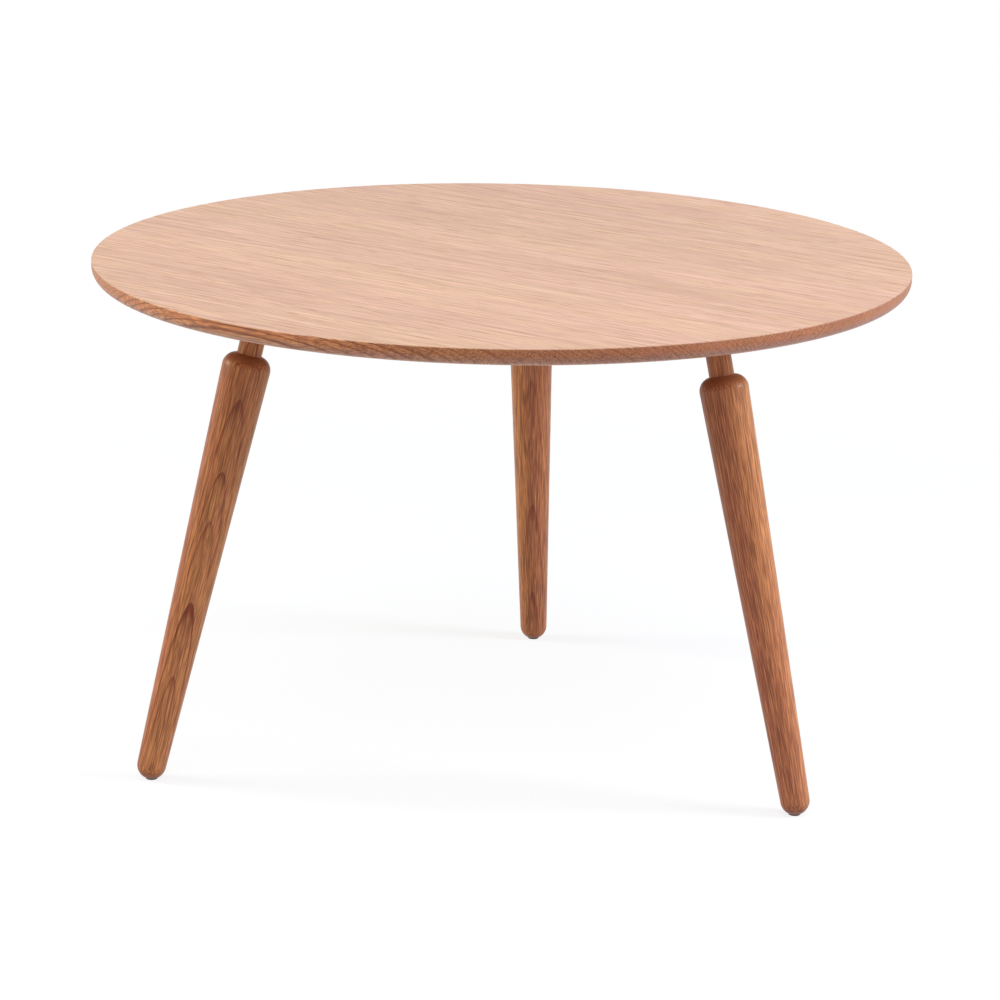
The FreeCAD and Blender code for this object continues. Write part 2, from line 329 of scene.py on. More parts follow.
class Shader:
    """The nodes of a material or of the world, with short calls that add a node and link it up."""

    def __init__(self, owner: Material | bpy.types.World) -> None:
        """Start with an empty tree.

        Args:
            owner: The material or world that the nodes belong to.
        """
        owner.use_nodes = True
        self.owner = owner
        self.tree = owner.node_tree
        self.tree.nodes.clear()

    def add(self, kind: str, inputs: dict | None = None, **settings: object) -> bpy.types.Node:
        """Add a node.

        Args:
            kind: The node's type.
            inputs: Values or sockets for its inputs, by name or number.
            settings: Values of its own properties.

        Returns:
            The node.
        """
        node = self.tree.nodes.new(kind)
        for name, value in settings.items():
            setattr(node, name, value)
        for key, value in (inputs or {}).items():
            if isinstance(value, Socket):
                self.tree.links.new(value, node.inputs[key])
            else:
                node.inputs[key].default_value = value
        return node

    def surface(self) -> Socket:
        """Places on a piece, in its own axes."""
        return self.add("ShaderNodeTexCoord").outputs["Object"]

    def normal(self) -> Socket:
        """The way a surface faces."""
        return self.add("ShaderNodeNewGeometry").outputs["Normal"]

    def math(self, operation: str, *values: float | Socket) -> Socket:
        """Work out a number from others."""
        return self.add("ShaderNodeMath", dict(enumerate(values)), operation=operation).outputs[0]

    def vector(self, operation: str, *values: Sequence[float] | Socket) -> Socket:
        """Work out a vector from others, or a number where the operation gives one.

        Args:
            operation: The operation's name.
            values: What it works on.

        Returns:
            The result.
        """
        keys = ("Vector", "Scale") if operation == "SCALE" else range(len(values))
        node = self.add("ShaderNodeVectorMath", dict(zip(keys, values)), operation=operation)
        return node.outputs["Value" if operation in ("LENGTH", "DOT_PRODUCT") else "Vector"]

    def span(self, value: Socket, low: float | Socket, high: float | Socket, start: float | Socket = 0.0,
             end: float | Socket = 1.0) -> Socket:
        """Ease a number from the span between low and high to the span between start and end."""
        inputs = {"Value": value, "From Min": low, "From Max": high, "To Min": start, "To Max": end}
        return self.add("ShaderNodeMapRange", inputs, interpolation_type="SMOOTHSTEP").outputs["Result"]

    def noise(self, place: Socket, stretch: Triple, detail: float = 2.0, output: str = "Fac") -> Socket:
        """Read a noise by its waves per metre along each axis: Fac for a number, Color for a vector."""
        inputs = {"Vector": self.vector("MULTIPLY", place, stretch), "Scale": 1.0, "Detail": detail}
        return self.add("ShaderNodeTexNoise", inputs).outputs[output]

    def blend(self, share: float | Socket, first: Colour | Socket, second: Colour | Socket,
              mode: str = "MIX") -> Socket:
        """Mix two colours by how much of the second there is."""
        first, second = (value if isinstance(value, Socket) else (*value, 1.0) for value in (first, second))
        return self.add("ShaderNodeMix", {MIX_FACTOR: share, MIX_A: first, MIX_B: second},
                        data_type="RGBA", blend_type=mode).outputs[MIX_RESULT]

    def bump(self, height: Socket, strength: float, depth: float, sunk: bool = False) -> Socket:
        """Tilt the surface by a relief of a depth in metres that stands out, or is sunk."""
        inputs = {"Height": height, "Strength": strength, "Distance": depth}
        return self.add("ShaderNodeBump", inputs, invert=sunk).outputs["Normal"]

    def shade(self, kind: str, inputs: dict | None = None) -> Socket:
        """Add a node that gives a surface, and return that surface."""
        return self.add(kind, inputs).outputs[0]

    def mix(self, share: Socket, first: Socket, second: Socket) -> Socket:
        """Mix two surfaces by how much of the second there is."""
        return self.shade("ShaderNodeMixShader", {0: share, 1: first, 2: second})

    def finish(self, surface: Socket, output: str = "ShaderNodeOutputMaterial") -> Material | bpy.types.World:
        """Link a surface to the output and return the material or world."""
        self.add(output, {"Surface": surface})
        return self.owner

    def skin(self, colour: Socket, rough: Socket, normal: Socket, **values: float) -> Material:
        """Finish a material as an opaque skin; further values have an underscore for each blank in a name."""
        further = {name.replace("_", " "): value for name, value in values.items()}
        return self.finish(self.shade("ShaderNodeBsdfPrincipled", {
            "Base Color": colour, "Roughness": rough, "Normal": normal, **further}))


@dataclass(frozen=True)
class Figure:
    """A noise in the wood: waves per metre along the grain and across it, and its number of finer layers."""

    along: float
    across: float
    detail: float = 2.0

    def read(self, shader: Shader, place: Socket, output: str = "Fac") -> Socket:
        """Read the noise at places whose x runs along the grain."""
        return shader.noise(place, (self.along, self.across, self.across), self.detail, output)

    def push(self, shader: Shader, place: Socket, reach: float) -> Socket:
        """A push across the grain, up to half a reach to either side."""
        centred = shader.vector("SUBTRACT", self.read(shader, place, "Color"), (0.5, 0.5, 0.5))
        return shader.vector("MULTIPLY", centred, (0.0, reach, reach))


@dataclass(frozen=True)
class Sawn:
    """How one piece was sawn from the tree: x of its turn runs along the grain, the heart lies beside it."""

    turn: Euler
    origin: Vector
    heart: tuple[float, float]
    taper: float = 0.02  # of its rings, along the grain
    shift: float = 0.0  # that sets its noises apart from those of other pieces
    tone: float = 1.0  # by which its colour is multiplied
    figure: float = 1.0  # by which the depth of its rings is multiplied
    # On the legs this slope is painted light and shade: paler on the side that the lamp lights
    slope: Triple = (0.0, 0.0, 0.0)  # towards its paler side


@dataclass(frozen=True)
class Oak:
    """Lacquered oak, as a solid: growth rings about the heart, pores along the grain, darker end grain.

    Lengths are in metres. A depth says how far a layer moves a place between the dark tone and the light.
    """

    light: Colour
    dark: Colour
    pore: Colour
    end_tint: Colour = (0.9, 0.82, 0.76)
    end_span: Span = (0.15, 0.85)
    # Painted light by facing: a painted highlight along the arris, and painted shade with a painted
    # floor-bounce tint on the under-round
    painted_light_by_facing: tuple[tuple[float, Colour], ...] = ()
    blush: float = 0.0
    rose: Figure = Figure(2.0, 40.0)
    rose_span: Span = (0.35, 0.65)

    # Edges that stand upright
    edge_above: Span = (0.4, 0.9)
    edge_below: Span = (-0.97, -0.5)
    edge_lines: float = 0.0
    edge_line_span: Span = (0.05, 0.3)
    edge_line_end: float = 0.8
    edge_contrast: float = 1.0
    edge_contrast_end: float = 0.6
    edge_roughness: float = 0.0
    edge_specks: float = 0.0
    speck_span: Span = (0.36, 0.64)
    dark_speck: Colour = (0.48, 0.42, 0.40)
    light_speck: Colour = (1.56, 1.60, 1.44)

    # Growth rings, with the parts of a year as shares of it
    ring_width: float = 0.0028
    ring_depth: float = 0.6
    end_ring_depth: float = 1.5
    ring_breaks: float = 0.25
    breaks: Figure = Figure(7.0, 70.0, 1.0)
    break_span: Span = (0.35, 0.60)
    ring_start: float = 0.03
    ring_line: float = 0.20
    ring_tail: float = 0.50
    ring_fade: float = 0.35
    ring_mean: float = 0.17
    wander: float = 0.006
    sway: Figure = Figure(1.6, 11.0, 3.0)
    year_drift: float = 0.23
    year_spread: float = 2.4
    year_least: float = 0.3
    year_range: float = 0.8

    # Fibres and pores
    wave: float = 0.004
    waves: Figure = Figure(4.0, 9.0, 1.0)
    fibre_depth: float = 2.4
    fibres: Figure = Figure(1 / 0.03, 1 / 0.002, 1.5)
    streak_depth: float = 0.8
    streaks: Figure = Figure(1 / 0.08, 150.0, 3.0)
    band_depth: float = 0.35
    bands: Figure = Figure(1.3, 15.0)
    line_depth: float = 0.6
    lines: Figure = Figure(9.0, 260.0)
    line_span: Span = (0.60, 0.70)
    speckle_depth: float = 0.0
    dots: Figure = Figure(60.0, 900.0)
    dot_span: Span = (0.3, 0.7)
    grain: Figure = Figure(1 / 0.028, 900.0, 1.0)
    pore_depth: float = 0.6
    end_pore_depth: float = 0.9
    pore_level: float = 0.61
    pore_step: float = 0.12

    # Lacquer
    roughness: float = 0.40
    pore_roughness: float = 0.22
    streak_roughness: float = 0.10
    gloss: float = 0.5
    refraction: float = 1.5
    pore_relief: float = 0.00006
    relief_strength: float = 0.7
    ring_relief: float = 0.25

    def materials(self, name: str, cuts: Iterable[Sawn]) -> list[Material]:
        """Make the numbered finishes of pieces that were sawn in these ways."""
        return [OakGrain(self, f"{name}_{number}", sawn).finish() for number, sawn in enumerate(cuts, 1)]


class OakGrain:
    """The nodes of one piece of oak, from the noises that they share to the finished skin."""

    SHIFT_SHARES: Triple = (1.0, 0.37, 0.71)

    def __init__(self, oak: Oak, name: str, sawn: Sawn) -> None:
        """Start a material with what several steps of it use.

        Args:
            oak: The finish.
            name: Name of the material.
            sawn: How the piece was sawn.
        """
        shader = Shader(bpy.data.materials.new(name))
        self.oak, self.sawn, self.shader = oak, sawn, shader
        mapping = {"Vector": shader.surface(), "Location": sawn.origin, "Rotation": sawn.turn}
        self.place = shader.add("ShaderNodeMapping", mapping, vector_type="TEXTURE").outputs["Vector"]
        self.shifted = shader.vector("ADD", self.place, [sawn.shift * share for share in self.SHIFT_SHARES])
        self.wavy = shader.vector("ADD", self.shifted, oak.waves.push(shader, self.shifted, oak.wave))
        self.level = shader.add("ShaderNodeSeparateXYZ", {"Vector": shader.normal()}).outputs["Z"]
        self.edge = shader.math("MULTIPLY", shader.span(self.level, *oak.edge_above, 1.0, 0.0),
                                shader.span(self.level, *oak.edge_below))
        self.end = self.end_grain()
        self.early = self.early_wood()
        self.streaks = oak.streaks.read(shader, self.wavy)
        self.dots = oak.dots.read(shader, self.shifted)
        self.grain = shader.span(self.end, *oak.dot_span, oak.grain.read(shader, self.wavy), self.dots)
        self.pores = self.open_pores()

    def end_grain(self) -> Socket:
        """How squarely the surface cuts across the grain, from 0 to 1."""
        square = self.shader.vector("DOT_PRODUCT", self.shader.normal(), self.sawn.turn.to_matrix().col[0])
        return self.shader.span(self.shader.math("ABSOLUTE", square), *self.oak.end_span)

    def by_end(self, value: float, end_value: float) -> Socket:
        """A value on long grain that goes over to another on end grain."""
        return self.shader.span(self.end, 0.0, 1.0, value, end_value)

    def early_wood(self) -> Socket:
        """How far a place lies in the porous early wood of its year.

        Returns:
            1 where a year starts, down to 0 in its late wood.
        """
        shader, oak, sawn = self.shader, self.oak, self.sawn
        bent = shader.vector("ADD", self.place, oak.sway.push(shader, self.shifted, oak.wander))
        bent = shader.vector("SUBTRACT", bent, (0.0, *sawn.heart))
        radial = shader.vector("LENGTH", shader.vector("MULTIPLY", bent, (0.0, 1.0, 1.0)))
        along = shader.add("ShaderNodeSeparateXYZ", {"Vector": self.place}).outputs["X"]
        years = shader.math("DIVIDE", shader.math("MULTIPLY_ADD", along, sawn.taper, radial), oak.ring_width)
        drift = shader.math("MULTIPLY_ADD", years, oak.year_drift, sawn.shift)
        inputs = {"W": drift, "Scale": 1.0, "Detail": 1.0}
        spread = shader.add("ShaderNodeTexNoise", inputs, noise_dimensions="1D").outputs["Fac"]
        years = shader.math("MULTIPLY_ADD", spread, oak.year_spread, years)
        phase = shader.math("FRACT", years)
        rising = shader.span(phase, 0.0, oak.ring_start)
        start = shader.span(phase, oak.ring_start, oak.ring_line, 1.0 - oak.ring_fade, 0.0)
        fading = shader.span(phase, oak.ring_start, oak.ring_tail, oak.ring_fade, 0.0)
        line = shader.math("MINIMUM", shader.math("ADD", start, fading), rising)
        year = shader.math("ADD", shader.math("FLOOR", years), sawn.shift)
        chance = shader.add("ShaderNodeTexWhiteNoise", {"W": year}, noise_dimensions="1D").outputs["Value"]
        strength = shader.math("MULTIPLY_ADD", chance, oak.year_range, oak.year_least)
        return shader.math("MULTIPLY", line, strength)

    def open_pores(self) -> Socket:
        """1 in a pore and 0 beside it: long and fine, most in early wood, and dots on the end grain."""
        level = self.shader.math("MULTIPLY_ADD", self.early, -self.oak.pore_step, self.oak.pore_level)
        return self.shader.span(self.grain, level, self.shader.math("ADD", level, self.oak.pore_step))

    def marks(self) -> Socket:
        """Pores, dark fibres and the lines of the years along an edge.

        Returns:
            How strongly a place is marked.
        """
        shader, oak = self.shader, self.oak
        lines = shader.span(oak.lines.read(shader, self.wavy), *oak.line_span)
        marks = shader.math("MAXIMUM", self.pores, shader.math("MULTIPLY", lines, oak.line_depth))
        edge_line = shader.math("MULTIPLY", shader.span(self.early, *oak.edge_line_span), self.edge)
        long_grain = shader.span(self.end, 0.0, oak.edge_line_end, oak.edge_lines, 0.0)
        marks = shader.math("MAXIMUM", marks, shader.math("MULTIPLY", edge_line, long_grain))
        return shader.math("MULTIPLY", marks, self.by_end(oak.pore_depth, oak.end_pore_depth))

    def light_share(self) -> Socket:
        """Rings, fibres, streaks, bands and specks together, with a slope to one side that on the legs is
        painted light and shade.

        Returns:
            How far a place goes from the dark tone to the light one.
        """
        shader, oak, sawn = self.shader, self.oak, self.sawn
        rings = self.by_end(oak.ring_depth * sawn.figure, oak.end_ring_depth * sawn.figure)
        breaks = shader.span(oak.breaks.read(shader, self.wavy), *oak.break_span, oak.ring_breaks, 1.0)
        rings = shader.math("MULTIPLY", rings, breaks)
        share = shader.math("MULTIPLY", shader.math("SUBTRACT", oak.ring_mean, self.early), rings)
        fibres, bands = (figure.read(shader, self.wavy) for figure in (oak.fibres, oak.bands))
        for value, depth, end_depth in (
                (fibres, oak.fibre_depth, 0.0), (self.streaks, oak.streak_depth, 0.0),
                (bands, oak.band_depth, oak.band_depth), (self.dots, 0.0, oak.speckle_depth)):
            centred = shader.math("SUBTRACT", value, 0.5)
            share = shader.math("MULTIPLY_ADD", centred, self.by_end(depth, end_depth), share)
        contrast = shader.span(self.end, 0.0, oak.edge_contrast_end, oak.edge_contrast, 1.0)
        share = shader.math("MULTIPLY", share, shader.span(self.edge, 0.0, 1.0, 1.0, contrast))
        # The slope makes one side paler; on the legs it is painted light and shade across the leg
        slope = shader.math("ADD", shader.vector("DOT_PRODUCT", self.place, sawn.slope), 0.5)
        return shader.math("ADD", share, slope)

    def colour(self) -> Socket:
        """The wood, its marks and its tints together, with light and shade painted in by the way the surface
        faces.

        Returns:
            The colour.
        """
        shader, oak = self.shader, self.oak
        colour = shader.blend(self.light_share(), oak.dark, oak.light)
        colour = shader.blend(self.marks(), colour, oak.pore)
        colour = shader.blend(self.end, colour, oak.end_tint, "MULTIPLY")
        if oak.edge_specks:
            specks = shader.blend(shader.span(self.grain, *oak.speck_span), oak.dark_speck, oak.light_speck)
            share = shader.math("MULTIPLY", self.edge, oak.edge_specks)
            colour = shader.blend(share, colour, specks, "MULTIPLY")
        # Painted highlight along the arris, and painted shade and floor bounce under the edge, by the way the
        # surface faces
        if oak.painted_light_by_facing:
            colour = shader.blend(1.0, colour, self.painted_facing_tint(), "MULTIPLY")
        rosy = shader.span(oak.rose.read(shader, self.wavy), *oak.rose_span)
        yellow, rose = ((1.0, 1.0 + turn, 1.0 - 2 * turn) for turn in (oak.blush, -oak.blush))
        colour = shader.blend(1.0, colour, shader.blend(rosy, yellow, rose), "MULTIPLY")
        return shader.vector("SCALE", colour, self.sawn.tone)

    def painted_facing_tint(self) -> Socket:
        """Tint by how far the surface faces up: a painted highlight along the arris, a deeper colour on the
        upright edge, and painted shade with a painted floor-bounce tint on the under-round.

        Returns:
            The tint.
        """
        share = self.shader.math("MULTIPLY_ADD", self.level, 0.5, 0.5)
        ramp = self.shader.add("ShaderNodeValToRGB", {"Fac": share})
        stops = ramp.color_ramp.elements
        while len(stops) < len(self.oak.painted_light_by_facing):
            stops.new(1.0)
        for stop, (level, tint) in zip(stops, self.oak.painted_light_by_facing):
            stop.position = (level + 1) / 2
            stop.color = (*tint, 1.0)
        return ramp.outputs["Color"]

    def finish(self) -> Material:
        """Lay on a lacquer that sinks into pores and early wood.

        Returns:
            The finished material.
        """
        shader, oak = self.shader, self.oak
        rough = shader.math("MULTIPLY_ADD", self.pores, oak.pore_roughness, oak.roughness)
        rough = shader.math("MULTIPLY_ADD", self.streaks, oak.streak_roughness, rough)
        rough = shader.math("MULTIPLY_ADD", self.edge, oak.edge_roughness, rough)
        relief = shader.math("MULTIPLY_ADD", self.early, oak.ring_relief, self.pores)
        normal = shader.bump(relief, oak.relief_strength, oak.pore_relief, sunk=True)
        return shader.skin(self.colour(), rough, normal, IOR=oak.refraction, Specular_IOR_Level=oak.gloss)


@dataclass(frozen=True)
class Plain:
    """A plain finish: one colour with marks of another, over a fine grain.

    Noises are in waves per metre along each axis. Sunk marks give the relief, or else the grain does.
    """

    base: Colour
    mark: Colour
    marks: Triple
    mark_span: Span
    grain: Triple
    roughness: float
    relief: float
    relief_strength: float
    mark_detail: float = 2.0
    mark_depth: float = 1.0
    mark_roughness: float = 0.0
    grain_detail: float = 2.0
    grain_depth: float = 0.0
    grain_roughness: float = 0.0
    sunk: bool = False
    metallic: float = 0.0

    def material(self, name: str) -> Material:
        """Make the finish.

        Args:
            name: Name of the material.

        Returns:
            The material.
        """
        shader = Shader(bpy.data.materials.new(name))
        surface = shader.surface()
        marks = shader.span(shader.noise(surface, self.marks, self.mark_detail), *self.mark_span)
        grain = shader.noise(surface, self.grain, self.grain_detail)
        colour = shader.blend(shader.math("MULTIPLY", marks, self.mark_depth), self.base, self.mark)
        colour = shader.blend(shader.math("MULTIPLY", grain, self.grain_depth), colour, self.mark)
        rough = shader.math("MULTIPLY_ADD", marks, self.mark_roughness, self.roughness)
        rough = shader.math("MULTIPLY_ADD", grain, self.grain_roughness, rough)
        normal = shader.bump(marks if self.sunk else grain, self.relief_strength, self.relief, self.sunk)
        return shader.skin(colour, rough, normal, Metallic=self.metallic)


@dataclass(frozen=True)
class Layout:
    """Places that several pieces share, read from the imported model."""

    radius: float
    height: float
    underside: float
    rail_bottom: float
    foot_distance: float
    foot_level: float
    glide_thickness: float
    ball_radius: float = 0.0135
    splay: float = math.radians(13.9)
    leg_count: int = 3
    first_leg: float = math.radians(90)
    neck_radius: float = 0.0115
    inner_screw: float = 0.072
    outer_screw_spacing: float = 0.085

    @classmethod
    def from_frame(cls) -> "Layout":
        """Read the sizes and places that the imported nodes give.

        Returns:
            The layout.
        """
        high = CAD_BOX[1]
        rail_low, rail_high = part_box("underframe_rail_1")
        glide_low, glide_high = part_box("foot_glide_1")
        return cls(radius=high.x, height=high.z, underside=rail_high.z, rail_bottom=rail_low.z,
                   foot_distance=(glide_low.y + glide_high.y) / 2, foot_level=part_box("leg_1")[0].z,
                   glide_thickness=glide_high.z)

    def axis_radius(self, height: float) -> float:
        """Distance of a leg's axis from the table's centre line, at a height."""
        return self.foot_distance - (height - self.ball_radius) * math.tan(self.splay)

    def leg_angles(self) -> list[float]:
        """Directions of the legs, in the order of their nodes."""
        return [self.first_leg + 2 * math.pi * k / self.leg_count for k in range(self.leg_count)]

    def leg_turns(self) -> list[Matrix]:
        """Turns that take a piece from angle 0 to each leg."""
        return [Matrix.Rotation(angle, 4, "Z") for angle in self.leg_angles()]

    def leg_place(self, angle: float) -> Matrix:
        """Where a piece made along Z goes to stand on a leg's axis, with its z = 0 on the floor."""
        lean = Matrix.Rotation(-self.splay, 4, "Y")
        return Matrix.Rotation(angle, 4, "Z") @ Matrix.Translation((self.axis_radius(0), 0, 0)) @ lean

    def screw_radii(self) -> list[float]:
        """Distances of a rail's screws from the centre of the table."""
        return [self.inner_screw, self.axis_radius(self.rail_bottom) - self.outer_screw_spacing]

    def screw_spots(self) -> list[Vector]:
        """Places of all the screws in plan."""
        return [Vector((radius * math.cos(angle), radius * math.sin(angle), 0))
                for angle in self.leg_angles() for radius in self.screw_radii()]


@dataclass
class TableTop:
    """The round top: boards glued edge to edge, then turned to a disc with a soft edge."""

    layout: Layout
    arris: float = 0.0010
    arris_steps: int = 8
    under_round: float = 0.0105
    under_steps: int = 14
    stave_width: float = 0.137
    seam_offset: float = 0.130
    grain_angle: float = math.radians(-30)
    rim_segments: int = 360
    pilot_radius: float = 0.00235
    pilot_depth: float = 0.0101
    pilot_segments: int = 24
    staves: list[Blank] = field(default_factory=list)

    @property
    def across(self) -> Vector:
        """Direction across the boards, from front to back."""
        return Vector((-math.sin(self.grain_angle), math.cos(self.grain_angle), 0))

    def outline(self) -> Outline:
        """Half section of the disc.

        Returns:
            Its points, from the edge of the underside to the edge of the upper face.
        """
        radius, low, high = self.layout.radius, self.layout.underside, self.layout.height
        under, arris = self.under_round, self.arris
        points = [(radius - under, low)]
        points += arc((radius - under, low + under), under, -90, 0, self.under_steps)
        points += [(radius, high - arris)]
        return points + arc((radius - arris, high - arris), arris, 0, 90, self.arris_steps)

    def edges(self) -> list[float]:
        """Glue lines across the boards.

        Returns:
            Their distances from the centre, with the rim at both ends.
        """
        radius = self.layout.radius
        seams = [-radius]
        seam = self.seam_offset - radius
        while seam < radius - self.under_round:
            seams.append(seam)
            seam += self.stave_width
        return seams + [radius]

    def build(self) -> None:
        """Turn the disc, saw a copy of it for each board and drill the pilot holes."""
        edges = self.edges()
        disc = Blank.turn("disc", self.outline(), self.rim_segments)
        self.staves = disc.spread("oak_board", [STAY] * (len(edges) - 1))
        for stave, front, back in zip(self.staves, edges, edges[1:]):
            if front > edges[0]:
                stave.saw(self.across * front, -self.across)
            if back < edges[-1]:
                stave.saw(self.across * back, self.across)
            stave.shape(self.drills(front, back)).smooth()

    def drills(self, front: float, back: float) -> list[Blank]:
        """Drills for the pilot holes in one board.

        Args:
            front: Where the board starts, across the grain.
            back: Where it ends.

        Returns:
            The drills in their places.
        """
        low, high = self.layout.underside - self.pilot_depth, self.layout.underside + self.pilot_depth
        drills = []
        for spot in self.layout.screw_spots():
            if front < spot.dot(self.across) < back:
                drill = Blank.rod("drill", self.pilot_radius, low, high, self.pilot_segments)
                drills.append(drill.settle(Matrix.Translation(spot)))
        return drills

    def dress(self, oak: Oak, cuts: Sequence[Sawn]) -> None:
        """Give each board, from front to back, the finish of how it was sawn."""
        hand_over_all(self.staves, Slot.TOP, oak.materials("top_oak", cuts), "top_stave")


@dataclass
class LegSet:
    """The turned legs, each with a rounded shoulder, a slim neck and a wedged tenon."""

    layout: Layout
    shoulder_radius: float = 0.0225
    shoulder_round: float = 0.013
    shoulder_steps: int = 14
    neck_length: float = 0.028
    ball_steps: int = 18
    segments: int = 96
    legs: list[Blank] = field(default_factory=list)

    def outline(self) -> Outline:
        """Half section of a leg along its axis.

        Returns:
            Its points, from a ball end to a neck that is left long.
        """
        layout = self.layout
        cosine = math.cos(layout.splay)
        centre = self.shoulder_radius - self.shoulder_round
        rise = math.sqrt(self.shoulder_round ** 2 - (layout.neck_radius - centre) ** 2)
        shoulder = layout.rail_bottom / cosine - self.neck_length - rise
        top = layout.underside / cosine + 2 * layout.neck_radius
        neck_angle = math.degrees(math.atan2(rise, layout.neck_radius - centre))
        points = arc((0, layout.ball_radius / cosine), layout.ball_radius, -90, 0, self.ball_steps)
        points += [(self.shoulder_radius, shoulder)]
        points += arc((centre, shoulder), self.shoulder_round, 0, neck_angle, self.shoulder_steps)
        return points + [(layout.neck_radius, top)]

    def build(self, wedge_slot: Blank, foot_holes: Sequence[Blank]) -> None:
        """Turn one leg, cut its tenon, foot and holes, and copy it round the table.

        Args:
            wedge_slot: The solid that saws the tenon for its wedge, along the leg's axis.
            foot_holes: The solids that bore the foot of the leg at angle 0.
        """
        layout = self.layout
        model = Blank.turn("leg_model", self.outline(), self.segments)
        model.shape([wedge_slot]).settle(layout.leg_place(0))
        model.saw((0, 0, layout.underside), (0, 0, 1)).saw((0, 0, layout.foot_level), (0, 0, -1))
        model.shape(foot_holes).smooth()
        self.legs = model.spread("turned_leg", layout.leg_turns())

    def dress(self, oak: Oak, cuts: Sequence[Sawn]) -> None:
        """Give each leg the finish of how it was sawn."""
        hand_over_all(self.legs, Slot.LEG, oak.materials("leg_oak", cuts), "leg")


@dataclass
class TenonWedges:
    """The beech wedges that spread the tenons in the rails."""

    layout: Layout
    thickness: float = 0.003
    tip: float = 0.001
    length: float = 0.020
    relief: float = 0.002
    segments: int = 96
    wedges: list[Blank] = field(default_factory=list)

    def blank(self, relief: float) -> Blank:
        """A wedge along the leg's axis, left long above the tenon.

        Args:
            relief: How far a saw cut goes on below the wedge.

        Returns:
            The new piece.
        """
        width = 2 * self.layout.neck_radius
        top = self.layout.underside / math.cos(self.layout.splay)
        low = top - self.length
        thick = self.thickness + (self.thickness - self.tip) * width / self.length
        wedge = Blank.block("wedge", (-thick / 2, -width, low), (thick / 2, width, top + width))
        wedge.pick(wedge.open("FACE").faces, lambda face: face.normal.z < NEAR - 1)
        bpy.ops.transform.resize(value=(self.tip / thick, 1, 1), center_override=(0, 0, low))
        if relief:
            bpy.ops.mesh.extrude_region_move(TRANSFORM_OT_translate={"value": (0, 0, -relief)})
        return wedge.close()

    def slot(self) -> Blank:
        """The saw cut that takes a wedge."""
        return self.blank(self.relief)

    def build(self) -> None:
        """Shape one wedge to the tenon, saw it flush and copy it round the table."""
        layout = self.layout
        model = self.blank(0)
        model.shape([Blank.rod("rod", layout.neck_radius, 0, 2 * layout.height, self.segments)], Cut.COMMON)
        model.settle(layout.leg_place(0)).saw((0, 0, layout.underside), (0, 0, 1)).smooth()
        self.wedges = model.spread("beech_wedge", layout.leg_turns())

    def dress(self, beech: Material) -> None:
        """Give the wedges their finish."""
        hand_over_all(self.wedges, Slot.BEECH, [beech] * len(self.wedges), "tenon_wedge")


